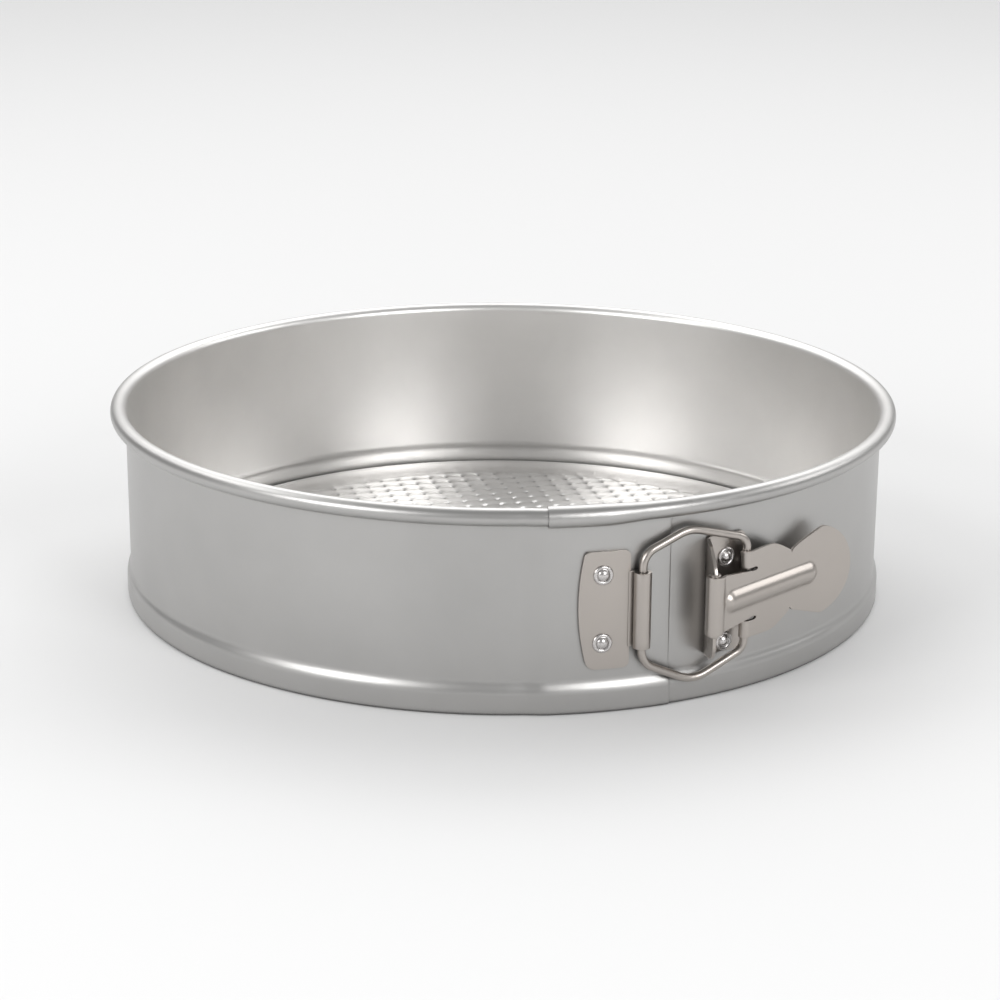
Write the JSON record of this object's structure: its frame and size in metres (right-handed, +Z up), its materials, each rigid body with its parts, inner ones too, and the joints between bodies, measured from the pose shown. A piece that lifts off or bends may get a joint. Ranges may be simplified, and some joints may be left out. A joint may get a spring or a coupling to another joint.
{
  "type": "springform pan",
  "caption": "Round springform cake pan: overlapping steel band with rolled rim and foot bead, loose base disc, wire bail and lever latch.",
  "frame": {"origin": "on the pan's axis at table level, in the middle of the foot ring it stands on", "axes": "+Z up along the pan's axis; -Y towards the latch; +X towards the lever's thumb tab"},
  "size_m": [0.2712, 0.2783, 0.0681],
  "materials": {
    "band_steel": "satin tinplate, slightly grainy",
    "disc_steel": "satin tinplate with a pressed waffle texture",
    "latch_steel": "satin nickel plate",
    "lever_steel": "satin nickel plate",
    "rivet_steel": "bright"
  },
  "bodies": {
    "band": {"side_band": "band_steel", "hinge_plate": "latch_steel", "hinge_rivet_upper": "rivet_steel", "hinge_rivet_lower": "rivet_steel", "latch_bracket": "latch_steel", "bracket_rivet_upper": "rivet_steel", "bracket_rivet_lower": "rivet_steel"},
    "base": {"base_disc": "disc_steel"},
    "bail": {"wire_bail": "latch_steel"},
    "lever": {"lever": "lever_steel"}
  },
  "joints": [
    {"name": "lever_swing", "type": "hinge", "parent": "band", "child": "lever", "pos_m": [0.0059, -0.14, 0.034], "axis": [0, 0, 1], "range_deg": [-175, 0]},
    {"name": "bail_swing", "type": "hinge", "parent": "band", "child": "bail", "pos_m": [-0.0154, -0.13306, 0.034], "axis": [0, 0, 1], "range_deg": [-27, 0]},
    {"name": "base_lift", "type": "slide", "parent": "band", "child": "base", "axis": [0, 0, 1], "range_m": [0, 0.09]}
  ],
  "couplings": [
    {"joint": "bail_swing", "follows": "lever_swing", "ratio": 0.15}
  ]
}
